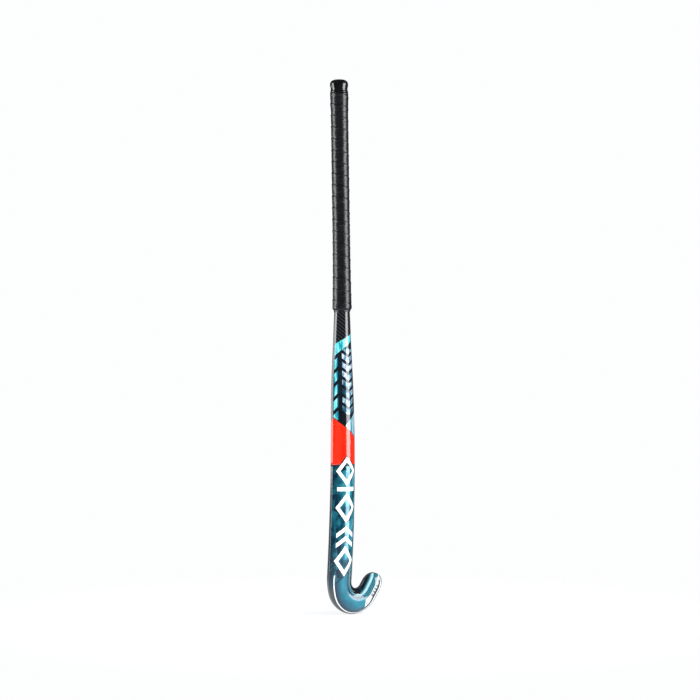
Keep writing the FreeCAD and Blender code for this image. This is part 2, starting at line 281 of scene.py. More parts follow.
def head_edges():
    """Outer point, inner point and "along" of each outline from the shaft to the end of the toe."""
    edges = []
    for k in range(1, STRAIGHT_STEPS):
        height = ARC_START + (HEEL_START - ARC_START) * k / STRAIGHT_STEPS
        edges.append((Vector((-HEAD_WIDTH / 2, 0, height)), Vector((HEAD_WIDTH / 2, 0, height)), height))
    for k in range(HOOK_STEPS + 1):
        turn = TOE_TURN * k / HOOK_STEPS
        edges.append((outer_edge(turn), inner_edge(turn), HEEL_START - HOOK_RATE * turn))
    outer, inner, along = edges[-1]
    heading = inward(TOE_TURN - 90)
    outer_end = outer + heading * TOE_STRAIGHT
    inner_end = inner + heading * (outer_end - inner).dot(heading)
    for k in range(1, TOE_STEPS + 1):
        share = k / TOE_STEPS
        edges.append((outer.lerp(outer_end, share), inner.lerp(inner_end, share),
                      along - TOE_STRAIGHT * share))
    return edges


def toe_end_rows(outer, inner, along, inset):
    """Outlines of the toe's end, which closes as a half oval."""
    heading = inward(TOE_TURN - 90)
    middle = (outer + inner) / 2
    square = (inner - outer).normalized()
    half, face, shoulder, back, corner = head_sizes((inner - outer).length, inset)
    rows = []
    for k in range(1, TIP_STEPS + 1):
        turn = TIP_SWEEP * k / TIP_STEPS
        shrink = math.cos(turn)
        reach = (TOE_END_LENGTH - inset) * math.sin(turn)
        offset = square * half * shrink
        centre = middle + heading * reach
        sizes = (half * shrink, face, shoulder, (back + shoulder) * shrink - shoulder,
                 min(corner, half * shrink * TOE_END_ROUNDING))
        rows.append(head_row(centre - offset, centre + offset, sizes, along - reach))
    return rows


def head_rows(inset):
    """Outlines from the first shaft section round the hook to the tip of the toe."""
    edges = head_edges()
    rows = [head_row(a, b, head_sizes((b - a).length, inset), along) for a, b, along in edges]
    return rows + toe_end_rows(*edges[-1], inset)


def steps_between(top, bottom, step):
    """Even heights from top to bottom, at most step apart."""
    count = max(1, math.ceil((top - bottom) / step))
    return [top + (bottom - top) * k / count for k in range(count + 1)]


def box_of(rows):
    points = [p[0] for row in rows for p in row]
    return (Vector([min(p[i] for p in points) for i in range(3)]),
            Vector([max(p[i] for p in points) for i in range(3)]))


# The stick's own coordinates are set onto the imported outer_shell by its box.
shell_low, shell_high = (Vector(corner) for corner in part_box("outer_shell"))
shaft_rows = [shaft_row(h, 0) for h in steps_between(SHELL_TOP, ARC_START, 2 * ROW_STEP)]
own_low, own_high = box_of(shaft_rows + head_rows(0))
SHIFT = (shell_low + shell_high) / 2 - (own_low + own_high) / 2 * MM
SHIFT.z = shell_low.z - own_low.z * MM


def place(point):
    return point * MM + SHIFT


# ---- mesh making ----

def add_object(name, data):
    made = bpy.data.objects.new(name, data)
    bpy.context.scene.collection.objects.link(made)
    return made


def make_piece(name, verts, faces, attributes):
    """A smooth mesh from points in the stick's millimetres, riding on the one body."""
    mesh = bpy.data.meshes.new(name)
    mesh.from_pydata([tuple(place(v)) for v in verts], [], faces)
    for key, values in attributes.items():
        mesh.attributes.new(key, "FLOAT", "POINT").data.foreach_set("value", values)
    mesh.validate()
    mesh.update()
    mesh.shade_smooth()
    piece = add_object(name, mesh)
    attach(piece, "root")
    return piece


def bridge(faces, first, second, count, flip=False):
    """Quads between two closed rings that start at these vertex numbers."""
    for i in range(count):
        j = (i + 1) % count
        quad = (first + i, first + j, second + j, second + i)
        faces.append(quad[::-1] if flip else quad)


def walled(name, outer, inner, tip=False):
    """A wall between two stacks of outlines. With tip, both stacks are closed at their last one."""
    count = len(outer[0])
    points = [p for row in outer + inner for p in row]
    faces = []
    for k in range(len(outer) - 1):
        bridge(faces, k * count, (k + 1) * count, count)
    base = len(outer) * count
    for k in range(len(inner) - 1):
        bridge(faces, base + k * count, base + (k + 1) * count, count, flip=True)
    bridge(faces, 0, base, count, flip=True)
    last_outer = base - count
    last_inner = base + (len(inner) - 1) * count
    if tip:
        faces.append(tuple(last_outer + i for i in range(count)))
        faces.append(tuple(last_inner + i for i in reversed(range(count))))
    else:
        bridge(faces, last_outer, last_inner, count)
    values = {key: [p[i + 1] for p in points] for i, key in enumerate(("around", "edge", "along"))}
    return make_piece(name, [p[0] for p in points], faces, values)


# ---- node arithmetic ----

def feed(value, slot):
    """Links a Val or a socket to an input, or sets the input to a number, a colour or a hex tone."""
    if isinstance(value, Val):
        value = value.socket
    if isinstance(value, bpy.types.NodeSocket):
        slot.id_data.links.new(value, slot)
    else:
        slot.default_value = colour(value) if isinstance(value, str) else value


class Val:
    """A node's output socket with arithmetic, so that a pattern reads as a formula.

    Masks run from 0 to 1: & takes the smaller of two, | the larger, and flip turns one round.
    """

    def __init__(self, socket):
        self.socket = socket

    def node(self, operation, *others):
        made = self.socket.id_data.nodes.new("ShaderNodeMath")
        made.operation = operation
        for value, slot in zip((self,) + others, made.inputs):
            feed(value, slot)
        return Val(made.outputs[0])

    __add__ = partialmethod(node, "ADD")
    __sub__ = partialmethod(node, "SUBTRACT")
    __mul__ = partialmethod(node, "MULTIPLY")
    __truediv__ = partialmethod(node, "DIVIDE")
    __neg__ = partialmethod(node, "MULTIPLY", -1.0)
    __or__ = partialmethod(node, "MAXIMUM")
    __and__ = partialmethod(node, "MINIMUM")
    abs = partialmethod(node, "ABSOLUTE")
    fract = partialmethod(node, "FRACT")

    def flip(self):
        return (self * -1.0) + 1.0

    def rise(self, low, high):
        """0 below low, 1 above high, straight between. low may be the larger."""
        made = self.socket.id_data.nodes.new("ShaderNodeMapRange")
        for name, value in (("Value", self), ("From Min", low), ("From Max", high)):
            feed(value, made.inputs[name])
        return Val(made.outputs["Result"])

    def above(self, level, soft=0.12):
        return self.rise(level - soft, level + soft)

    def below(self, level, soft=0.12):
        return self.rise(level + soft, level - soft)

    def between(self, low, high, soft=0.12):
        return self.above(low, soft) & self.below(high, soft)


class Paint:
    """One material's node tree and the few calls that the finishes below need."""

    def __init__(self, name, **settings):
        self.material = bpy.data.materials.new(name)
        self.material.use_nodes = True
        self.tree = self.material.node_tree
        self.shader = self.tree.nodes["Principled BSDF"]
        for key, value in settings.items():
            self.shader.inputs[key.replace("_", " ")].default_value = value

    def new(self, kind, **inputs):
        """A new node with some of its inputs fed."""
        made = self.tree.nodes.new("ShaderNode" + kind)
        for name, value in inputs.items():
            feed(value, made.inputs[name])
        return made

    def attribute(self, name):
        made = self.new("Attribute")
        made.attribute_name = name
        return Val(made.outputs["Fac"])

    def position(self):
        """The point's coordinates in the frame, in metres, as three values."""
        split = self.new("SeparateXYZ", Vector=self.new("TexCoord").outputs["Object"])
        return [Val(output) for output in split.outputs]

    def vector(self, x, y, z):
        return self.new("CombineXYZ", X=x, Y=y, Z=z).outputs[0]

    def noise(self, place, detail=3.0, roughness=0.5, distortion=0.0, scale=1.0):
        made = self.new("TexNoise", Vector=self.vector(*place), Scale=scale, Detail=detail,
                        Roughness=roughness, Distortion=distortion)
        return Val(made.outputs["Fac"])

    def cells(self, place, output="Color"):
        """A value that is even inside each cell, or with Distance the distance to its middle."""
        made = self.new("TexVoronoi", Vector=self.vector(*place), Scale=1.0)
        if output == "Distance":
            return Val(made.outputs["Distance"])
        split = self.new("SeparateColor", Color=made.outputs["Color"])
        return Val(split.outputs[0])

    def ramp(self, value, *stops):
        made = self.new("ValToRGB", Fac=value)
        band = made.color_ramp
        while len(band.elements) < len(stops):
            band.elements.new(0.5)
        for element, (position, tone) in zip(band.elements, stops):
            element.position = position
            element.color = colour(tone)
        return made.outputs[0]

    def mix(self, factor, low, high):
        """Colour low where factor is 0 and high where it is 1. Each is a socket or a hex tone."""
        made = self.new("Mix")
        made.data_type = "RGBA"
        # a Mix node has sockets for every data type; 6 and 7 are its colour inputs, 2 its colour output
        for value, slot in ((factor, "Factor"), (low, 6), (high, 7)):
            feed(value, made.inputs[slot])
        return made.outputs[2]

    def link(self, value, name):
        feed(value, self.shader.inputs[name])

    def bump(self, height, distance, strength=1.0, name="Normal"):
        made = self.new("Bump", Height=height, Distance=distance, Strength=strength)
        self.link(made.outputs[0], name)


def colour(tone):
    """Linear scene colour of an sRGB hex tone such as 1d4161."""
    parts = []
    for i in (0, 2, 4):
        v = int(tone[i:i + 2], 16) / 255
        parts.append(v / 12.92 if v <= 0.04045 else ((v + 0.055) / 1.055) ** 2.4)
    return (*parts, 1.0)


# ---- finishes ----

# The laminate's print, in millimetres: "along" is the height along the stick, "around" the distance
# round the back from its middle, negative on the heel side, and "edge" the distance past the crease.
# Slopes say how steeply an edge of the print climbs or falls round the stick.
FACET_WIDTH = 9.5
FILM_EDGE = -1.6  # the upper print ends just short of the crease
SASH_TOP = 481.6
SASH_TOP_SLOPE = 0.534
SASH_BOTTOM = 467.0
SASH_BOTTOM_SLOPE = 0.75
ORANGE_TOP = 323.7
ORANGE_SLOPE = 0.77
FACET_ORANGE_TOP = 338.0  # on the side facets the orange ends square
TEAL_TOP = 264.5
TEAL_SLOPE = 0.10
RUNG_MIDDLE = 3.0
RUNG_PITCH = 15.0
COLUMN_PITCH = 22.9
MOTIF_MIDDLE = -1.0
TOP_DIAMOND = 252.0
PANEL_TOP = 69.3  # slanted upper edge of the head's panel
PANEL_SLOPE = 0.88
PANEL_SIDE = 8.6  # where the panel meets the crook's side
TOE_START = 46.5  # distance from the shaft's axis
TOE_PANEL_SIDE = 2.0  # on the toe, the pale panel ends here,
HATCH_END = 9.4  # the hatching here
FLANK_START = 10.3  # and the black line beside it here
BLOCK_PITCH = 7.0


class Print:
    """What the layers of the laminate's print share: coordinates, zones and slow patterns."""

    def __init__(self, paint):
        self.paint = paint
        self.around = around = paint.attribute("around")
        self.edge = edge = paint.attribute("edge")
        self.along = along = paint.attribute("along")
        x, _, z = paint.position()
        self.toward_toe = (x - SHIFT.x) * TO_MM
        self.height = (z - SHIFT.z) * TO_MM

        self.across = (around - MOTIF_MIDDLE).abs()
        self.slant = along + around * 0.7
        self.cross = around - along * 0.35
        self.flow = (self.slant * 0.030, self.cross * 0.055, edge * 0.02)
        self.cloud = paint.noise(self.flow, 3.0, 0.55, 0.6, scale=1.6)

        self.on_back = edge.below(0.0)
        self.on_facet = edge.between(0.0, FACET_WIDTH)
        self.heel_half = around.below(0.0, 0.01)
        self.sash_top = along - around * SASH_TOP_SLOPE
        self.sash_bottom = along - around * SASH_BOTTOM_SLOPE
        self.orange_top = along + around * ORANGE_SLOPE
        self.teal_top = along + around.abs() * TEAL_SLOPE
        above_orange = self.orange_top.above(ORANGE_TOP)
        self.under_sash = self.sash_bottom.below(SASH_BOTTOM) & above_orange & self.on_back
        printed_side = self.on_back | edge.above(FACET_WIDTH)
        self.orange_zone = (self.orange_top.below(ORANGE_TOP) & printed_side) \
            | (along.below(FACET_ORANGE_TOP) & self.on_facet)
        self.teal_zone = self.teal_top.below(TEAL_TOP)
        self.panel_top = self.height - around * PANEL_SLOPE
        self.head_zone = self.panel_top.below(PANEL_TOP) & self.on_back
        self.toe = self.toward_toe.above(TOE_START, 0.4) & along.below(10.0) & self.on_back

        # the pinstripe keeps close to the rim round the heel and moves away from it on shaft and toe
        stripe_line = along.rise(20.0, 72.0) * 5.0 + along.rise(8.0, -18.0) * 10.2 + 4.8
        self.past_stripe = -edge - stripe_line


def carbon_weave(film):
    """Height of a diagonal twill of fine tows."""
    wale = ((film.around * 0.85 + film.along) / 6.4).fract()
    tow = ((film.around - film.along * 0.45) / 2.1).fract()
    return (wale - 0.5).abs() * 1.35 + (tow - 0.5).abs() * 0.4


def upper_print(film, base):
    """Turquoise sash; under it steel rungs whose palest tones are painted sheen, a blue wedge whose pale
    tones are a painted highlight, and a broken column down the heel side.
    """
    paint, around, along = film.paint, film.around, film.along
    shade = paint.noise((around * 0.16, film.slant * 0.02, 0.0), 2.0)
    turquoise = paint.ramp(shade, (0.30, "0c7391"), (0.43, "1f9db4"), (0.52, "6fe6e8"), (0.62, "a9f7f4"),
                           (0.75, "c9fbf8"))
    # steel-blue print; its near-white tones are painted sheen
    steel = paint.ramp(paint.noise((around * 0.10, along * 0.05, 0.0), 3.0, 0.6),
                       (0.30, "16384c"), (0.44, "2c6078"), (0.54, "86a8be"), (0.64, "dbe6ee"))
    dusk = paint.ramp(film.cloud, (0.3, "080d12"), (0.6, "0f202c"), (0.8, "1c4254"))
    base = paint.mix(film.under_sash, base, dusk)

    off_middle = (around - RUNG_MIDDLE).abs()
    rungs = ((along - off_middle * 0.7) / RUNG_PITCH).fract().between(0.14, 0.74, 0.02)
    ladder = rungs & off_middle.below(12.0) & along.between(349.0, 462.0)
    base = paint.mix(film.under_sash & ladder, base, steel)

    steep = along - around * 0.95
    wedge = film.under_sash & steep.below(334.0) & (around + (along - 335.0) * 0.9).above(-9.0)
    # metallic blue print; its pale tones are a painted highlight
    base = paint.mix(wedge, base, paint.ramp(shade, (0.3, "2a6079"), (0.5, "7fb3c6"), (0.7, "dbe9ef")))

    on_film = film.edge.below(FILM_EDGE)
    gap = ((steep - 5.3) / COLUMN_PITCH).fract().below(0.32, 0.01)
    column = film.under_sash & on_film & around.below(-16.2, 0.2) & gap.flip() & along.above(340.0)
    base = paint.mix(column, base, paint.mix(around.rise(-19.0, -17.4), turquoise, "0b6484"))
    sash = film.sash_top.below(SASH_TOP) & film.sash_bottom.above(SASH_BOTTOM) & on_film
    return paint.mix(sash, base, turquoise)


def crystal_teal(film):
    """Brushed, crystal-like teal, darker towards the heel side and lighter towards the toe side: painted
    shade and painted light.
    """
    paint = film.paint
    facets = paint.cells((film.slant * 0.045, film.cross * 0.075, 0.0))
    streaks = paint.noise((film.slant * 0.05, film.cross * 0.5, 0.0), 2.0)
    tone = film.cloud * 0.62 + facets * 0.30 + streaks * 0.16
    # the around term darkens the heel side and lightens the toe side: painted shade and painted light
    return paint.ramp(tone + film.around * 0.007, (0.38, "022b3d"), (0.46, "084458"), (0.53, "125a6c"),
                      (0.61, "207387"), (0.72, "3a8d9f"), (0.88, "6db4c2"))


def lower_print(film, base):
    """Orange band, then teal down to the head, with dark lines where they begin."""
    paint, around, along = film.paint, film.around, film.along
    glow = paint.noise((around * 0.05, along * 0.02, 0.0), 2.0)
    base = paint.mix(film.orange_zone, base, paint.ramp(glow, (0.3, "ee1a02"), (0.7, "fb2a05")))
    base = paint.mix(film.teal_zone, base, crystal_teal(film))
    halo = diamond(film, TOP_DIAMOND, 16.0, 20.5, 10.8) & along.above(258.0) & film.orange_zone
    above_orange = film.orange_top.between(ORANGE_TOP, ORANGE_TOP + 1.6) & film.under_sash
    above_teal = film.teal_top.between(TEAL_TOP - 0.9, TEAL_TOP + 0.7)
    outline = above_orange | above_teal | halo
    return paint.mix(outline & film.on_facet.flip(), base, "10151d")


def diamond(film, height, half_width, half_height, stroke):
    """The outline of a diamond with its middle at a height."""
    ring = film.across / half_width + (film.along - height).abs() / half_height - 1.0
    return (ring.abs() * half_width).below(stroke / 2 * 1.2)


def chevron(film, height, slope, reach, stroke):
    """A bar with its middle at a height and bent there. With slope 0 it is straight."""
    return (film.along - height - film.across * slope).abs().below(stroke / 2) & film.across.below(reach)


def motifs(film):
    """Bold plain motifs down the teal: diamonds, a bar and chevrons."""
    return (diamond(film, TOP_DIAMOND, 16.0, 20.5, 6.2) | chevron(film, 221.0, 0.0, 17.5, 6.8)
            | diamond(film, 189.0, 16.0, 21.0, 6.2) | chevron(film, 153.5, -0.75, 17.0, 7.6)
            | chevron(film, 136.5, -0.75, 17.0, 7.6) | diamond(film, 97.0, 15.5, 21.5, 6.2))


def head_print(film, base):
    """A teal panel inside a navy border, and a pale line and a dark flank round the crook."""
    paint, around, along = film.paint, film.around, film.along
    panel = paint.ramp(paint.noise(film.flow, 2.0, scale=0.9), (0.3, "075b72"), (0.5, "0c7288"),
                       (0.7, "158598"))
    inside = film.past_stripe.rise(3.0, 15.0) & around.rise(PANEL_SIDE, 3.5)
    bordered = paint.mix(inside, "0a2c44", panel)
    base = paint.mix(film.head_zone & around.below(PANEL_SIDE), base, bordered)
    upper_border = film.panel_top.between(PANEL_TOP, PANEL_TOP + 3.9, 0.6) & film.on_back
    base = paint.mix(upper_border & around.between(-17.0, PANEL_SIDE), base, "0f3448")
    crook_side = paint.ramp((around - 8.0) / 20.0, (0.0, "1d5565"), (0.2, "357787"), (0.5, "0f303c"))
    base = paint.mix(film.head_zone & around.above(PANEL_SIDE), base, crook_side)
    side_line = along.below(78.0) & around.between(PANEL_SIDE, PANEL_SIDE + 1.6) & film.on_back
    base = paint.mix(side_line, base, "0a1f2c")
    crook = along.between(2.0, 42.0, 4.0) & film.on_back
    base = paint.mix(crook & around.between(13.6, 14.4), base, "9dbcc4")
    return paint.mix(crook & around.above(14.4, 0.5), base, "0a1218")


def toe_print(film, base):
    """The toe's bands from the crook outwards: dark flank, a painted highlight along the toe's crest, black
    line, hatching on teal, a pale panel with hollow blocks, a black line, and past the pinstripe a pale line
    on black."""
    paint, around, along, toe = film.paint, film.around, film.along, film.toe
    # painted highlight along the toe's crest, falling off into the dark flank
    toe_highlight = film.toward_toe.above(41.0, 4.0) & along.below(6.0) & film.on_back & around.above(8.0)
    base = paint.mix(toe_highlight, base, paint.ramp(around / 30.0, (0.33, "2c7486"), (0.38, "6fa8b4"),
                                             (0.44, "b9d6dc"), (0.50, "7fb6c2"), (0.58, "1f5664"),
                                             (0.66, "0a1218")))
    base = paint.mix(toe & around.below(FLANK_START), base, "3b8496")
    lines = ((around - 1.2) / 2.6).fract().below(0.45, 0.08) & around.between(TOE_PANEL_SIDE, HATCH_END)
    base = paint.mix(toe & (lines | around.between(HATCH_END, FLANK_START)), base, "0a171f")

    pale = toe & around.below(TOE_PANEL_SIDE)
    base = paint.mix(pale, base, "cfd8dc")
    off_row = (around + 1.6).abs()
    phase = ((along + 2.0) / BLOCK_PITCH).fract()
    blocks = phase.between(0.18, 0.78, 0.03) & along.between(-44.0, -16.0) & off_row.below(2.3)
    hollow = phase.between(0.38, 0.58, 0.03) & off_row.below(1.0)
    base = paint.mix(pale & blocks & hollow.flip(), base, "20292e")

    rim = toe & film.heel_half
    base = paint.mix(rim & film.past_stripe.between(0.9, 5.8), base, "05080a")
    base = paint.mix(rim & film.past_stripe.below(-1.6), base, "0d1113")
    return paint.mix(rim & film.past_stripe.between(-6.6, -4.0), base, "c9d2d6")


def facet_print(film, base):
    """Dark graphite with a metallic speckle on the side facets and outside the pinstripe."""
    paint, around, along = film.paint, film.around, film.along
    speckle = paint.noise((around * 0.9, along * 0.9, 0.0), 4.0, 0.7)
    graphite = paint.ramp(speckle, (0.3, "262c2e"), (0.5, "3b4244"), (0.66, "5c6466"))
    facet = film.on_facet & (along.below(264.0) | along.between(FACET_ORANGE_TOP, 500.0, 12.0))
    rim = film.past_stripe.below(-1.0) & along.below(60.0, 4.0) & film.on_back & film.heel_half
    return paint.mix(facet | (rim & film.toe.flip()), base, graphite)


def laminate_paint():
    """Printed laminate under gloss lacquer: bare carbon, turquoise, steel blue, orange and teal."""
    paint = Paint("lacquered_graphics", Coat_Weight=1.0, Coat_Roughness=0.04, Coat_IOR=1.5,
                  Specular_IOR_Level=0.2)
    film = Print(paint)
    around, edge, along = film.around, film.edge, film.along
    weave = carbon_weave(film)
    base = paint.ramp(weave, (0.05, "060709"), (0.38, "0e1013"), (0.62, "24282c"), (0.85, "454c52"))
    for layer in (upper_print, lower_print, head_print, toe_print):
        base = layer(film, base)
    pinstripe = film.past_stripe.abs().below(1.0) & along.below(72.0) & film.heel_half & film.on_back
    base = paint.mix(pinstripe, base, "f2f6f7")
    pale_motifs = motifs(film)
    base = paint.mix(pale_motifs & along.below(275.0) & film.on_facet.flip(), base, "f7f8f8")
    base = facet_print(film, base)

    # scuffs low on the rim, where a stick touches the ground
    scuff = paint.noise((along * 0.12, around * 0.7, edge * 0.5), 5.0, 0.7)
    worn = scuff.above(0.70, 0.03) & along.below(30.0) & edge.between(-3.0, 12.0)
    paint.link(paint.mix(worn * 0.55, base, "a9adac"), "Base Color")

    metal = film.teal_zone.flip() & film.orange_zone.flip()
    metal_teal = film.teal_zone & pale_motifs.flip() & film.head_zone.flip()
    paint.link(metal * 0.22 + metal_teal * 0.34, "Metallic")
    grain = paint.noise((around * 0.4, along * 0.4, edge * 0.4), 3.0)
    paint.link(grain * 0.12 + 0.16, "Roughness")
    peel = paint.noise((around * 0.22, along * 0.22, edge * 0.22), 2.0)
    paint.bump(peel + scuff * 0.2, 0.0002, 0.35, "Coat Normal")
    paint.bump(weave * film.sash_top.above(SASH_TOP) + grain * 0.2, 0.0002, 0.4)
    return paint.material


def grip_paint():
    """Satin cushioned tape: fine grain, long shallow wrinkles, painted shade in the seams."""
    paint = Paint("satin_grip", Specular_IOR_Level=0.5)
    seam = paint.attribute("seam")
    around = paint.attribute("around")
    along = paint.attribute("along")
    grain = paint.noise((around * 2.2, along * 2.2, 0.0), 4.0, 0.65)
    wound = along - around * 0.24
    wrinkle = paint.noise((around * 0.09, wound * 0.28, 0.0), 2.0, 0.5, 0.4)
    base = paint.ramp(grain * 0.5 + wrinkle * 0.5, (0.3, "08090b"), (0.55, "101215"), (0.75, "1b1e21"))
    # near-black in the grooves between turns of tape: painted shade
    seam_shade = seam.below(0.07, 0.03) | seam.above(0.98, 0.015)
    base = paint.mix(seam_shade, base, "020203")
    # a little lighter where the wrinkles rise
    crest_tint = wrinkle.above(0.62, 0.06) * 0.3
    base = paint.mix(crest_tint, base, "2b2f33")
    paint.link(base, "Base Color")
    paint.link(grain * 0.16 + wrinkle * 0.1 + 0.18, "Roughness")
    paint.bump(wrinkle + grain * 0.01, 0.0008, 0.8)
    return paint.material


def vinyl_paint():
    """Smooth stretched finishing tape."""
    paint = Paint("stretched_vinyl", Specular_IOR_Level=0.5)
    around = paint.attribute("around")
    along = paint.attribute("along")
    pull = paint.noise((around * 0.06, along * 0.7, 0.0), 3.0, 0.6)
    dust = paint.noise((around * 2.0, along * 2.0, 0.0), 3.0)
    paint.link(paint.ramp(pull, (0.3, "0d0e12"), (0.7, "1f2027")), "Base Color")
    paint.link(dust * 0.12 + pull * 0.14 + 0.22, "Roughness")
    paint.bump(pull + dust * 0.1, 0.0004, 0.7)
    return paint.material


def cap_paint():
    """Gloss moulded rubber with faint flow marks."""
    paint = Paint("gloss_rubber", Specular_IOR_Level=0.25, Coat_Weight=0.8, Coat_Roughness=0.03, Coat_IOR=1.5)
    x, y, z = paint.position()
    cloud = paint.noise((x * 120.0, y * 120.0, z * 160.0), 4.0, 0.6)
    fine = paint.noise((x * 900.0, y * 900.0, z * 900.0), 3.0, 0.6)
    paint.link(paint.ramp(cloud, (0.3, "020203"), (0.7, "0b0d10")), "Base Color")
    paint.link(cloud * 0.14 + fine * 0.08 + 0.10, "Roughness")
    paint.bump(cloud * 0.8 + fine * 0.03, 0.0008, 0.5)
    return paint.material


def weave_paint(name, low, high, pitch, roughness):
    """Cloth or fibre weave in the object's own coordinates, for the plies and tapes inside."""
    paint = Paint(name)
    x, y, z = paint.position()
    scale = TO_MM / pitch
    warp = ((x + z * 0.5) * scale).fract()
    weft = ((z - x * 0.5 + y * 0.3) * scale).fract()
    knots = (warp - 0.5).abs() + (weft - 0.5).abs()
    stain = paint.noise((x * 40.0, y * 40.0, z * 40.0), 4.0)
    paint.link(paint.ramp(knots * 0.8 + stain * 0.4, (0.25, low), (0.9, high)), "Base Color")
    paint.link(stain * 0.2 + roughness, "Roughness")
    paint.bump(knots, 0.0003, 0.8)
    return paint.material


def foam_paint(name, low, high, scale, roughness):
    """Closed-cell foam or moulded stock: small round cells over slow colour change."""
    paint = Paint(name)
    x, y, z = paint.position()
    where = (x * scale, y * scale, z * scale)
    cells = paint.cells(where, "Distance")
    slow = paint.noise((x * 30.0, y * 30.0, z * 30.0), 3.0)
    paint.link(paint.ramp(cells * 0.5 + slow * 0.5, (0.25, low), (0.75, high)), "Base Color")
    paint.link(slow * 0.2 + roughness, "Roughness")
    paint.bump(cells, 0.0005, 0.7)
    return paint.material


# ---- pieces ----

def shell_pieces():
    """The visible laminate, outside and inside, from the open top to the closed toe."""
    finish = laminate_paint()
    spans = [("shell_handle_upper", SHELL_TOP, HANDLE_SPLIT),
             ("shell_handle_lower", HANDLE_SPLIT, GRIP_START),
             ("shell_shaft", GRIP_START, SHAFT_SPLIT)]
    pieces = []
    for name, top, bottom in spans:
        heights = steps_between(top, bottom, ROW_STEP)
        outer, inner = [[shaft_row(h, inset) for h in heights] for inset in (0, WALL)]
        pieces.append(walled(name, outer, inner))
    heights = steps_between(SHAFT_SPLIT, ARC_START, ROW_STEP)
    outer, inner = [[shaft_row(h, inset) for h in heights] + head_rows(inset) for inset in (0, WALL)]
    pieces.append(walled("shell_head", outer, inner, tip=True))
    for piece in pieces:
        piece.data.materials.append(finish)
        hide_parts("outer_shell")


def eased(value, start, length):
    """0 up to start, 1 from start + length on, and a smooth step between."""
    share = min(max((value - start) / length, 0.0), 1.0)
    return share * share * (3 - 2 * share)


def sleeve_lift(height):
    """How far the grip rises to ride up onto the cap's sleeve."""
    return SLEEVE_LIFT * eased(height, SLEEVE_BOTTOM - SLEEVE_RAMP, SLEEVE_RAMP)


def tape_swell(phase):
    """Height of the wound tape over its mean surface, phase 0 just above a seam, 1 just below one."""
    if phase < 0.3:
        return -0.34 + 0.40 * math.sin(math.pi / 2 * phase / 0.3)
    if phase < 0.72:
        return 0.06 + 0.05 * math.sin(math.pi * (phase - 0.3) / 0.42)
    rise = (phase - 0.72) / 0.28
    return 0.06 + 0.42 * math.sin(math.pi / 2 * min(rise * 1.15, 1.0)) - 0.16 * rise ** 6


def offset_point(height, column, distance):
    """A point at a distance outside the laminate, in one column of the outline."""
    low = shaft_row(height, -2.0)[column]
    high = shaft_row(height, -3.0)[column]
    return low[0].lerp(high[0], distance - 2.0), low[1]


def column_shares():
    """How far round the outline each column stands, from 0 to 1."""
    points = [Vector(p[:2]) for p in d_points(*inset_sizes(*section_at(700.0), -2.0))]
    lengths = [0.0]
    for a, b in zip(points, points[1:] + points[:1]):
        lengths.append(lengths[-1] + (b - a).length)
    return [length / lengths[-1] for length in lengths[:-1]]


def grip_reach(height, column, phase):
    """Distance from the laminate to the wound tape's surface, rolled in at both ends."""
    wobble = 0.10 * math.sin(height * 0.31 + column * 0.27) * math.sin(height * 0.043 + 1.3)
    end = min(height - GRIP_START, GRIP_TOP - height)
    rolled = 0.5 * max(0.0, 1 - end / 1.5) ** 2
    return GRIP_REACH + sleeve_lift(height) + tape_swell(phase) + wobble - rolled


def grip_points(shares, rows):
    """Points of the climbing grid, their attributes, and the point's number at each grid place.

    Places beyond the grip fall on its end rings, where each column has one point for all of them.
    """
    verts, numbers = [], []
    values = {"seam": [], "around": [], "along": []}
    known = {}
    for j in range(rows):
        for i, share in enumerate(shares):
            climbed = GRIP_START - GRIP_PITCH + (j + share * TAPE_ROWS) * TAPE_STEP
            height = min(max(climbed, GRIP_START), GRIP_TOP)
            phase = (j % TAPE_ROWS) / TAPE_ROWS
            if height != climbed:
                phase = ((height - GRIP_START) / GRIP_PITCH - share) % 1.0
            key = (round(height, 5), i)
            if key not in known:
                known[key] = len(verts)
                point, arc = offset_point(height, i, grip_reach(height, i, phase))
                verts.append(point)
                values["seam"].append(phase)
                values["around"].append(arc)
                values["along"].append(height)
            numbers.append(known[key])
    return verts, values, numbers


def grip_faces(numbers, rows, count, along):
    """Faces of the climbing grid, without those that lie flat on an end ring."""
    def number(j, i):
        if i == count:
            j, i = j + TAPE_ROWS, 0
        return numbers[j * count + i] if j < rows else None

    faces = []
    for j in range(rows - 1):
        for i in range(count):
            corners = [number(j, i), number(j, i + 1), number(j + 1, i + 1), number(j + 1, i)]
            if None in corners:
                continue
            kept = [c for k, c in enumerate(corners) if c != corners[k - 1]]
            if len(set(kept)) > 2 and len({round(along[c], 4) for c in kept}) > 1:
                faces.append(tuple(kept))
    return faces


def grip_wrap():
    """The wound grip: a grid that climbs with the tape, so that every seam lies along grid lines."""
    shares = column_shares()
    rows = int((GRIP_TOP - GRIP_START) / TAPE_STEP) + 2 * TAPE_ROWS
    verts, values, numbers = grip_points(shares, rows)
    faces = grip_faces(numbers, rows, len(shares), values["along"])
    piece = make_piece("grip_wrap_tape", verts, faces, values)
    thicken(piece, GRIP_WALL)
    piece.data.materials.append(grip_paint())
    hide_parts("grip_wrap")


def thicken(piece, thickness):
    """Gives an open skin a wall on its inner side, and keeps the result as the mesh."""
    wall = piece.modifiers.new("wall", "SOLIDIFY")
    wall.thickness = thickness * MM
    wall.offset = -1.0
    graph = bpy.context.evaluated_depsgraph_get()
    mesh = bpy.data.meshes.new_from_object(piece.evaluated_get(graph))
    piece.modifiers.remove(wall)
    piece.data = mesh


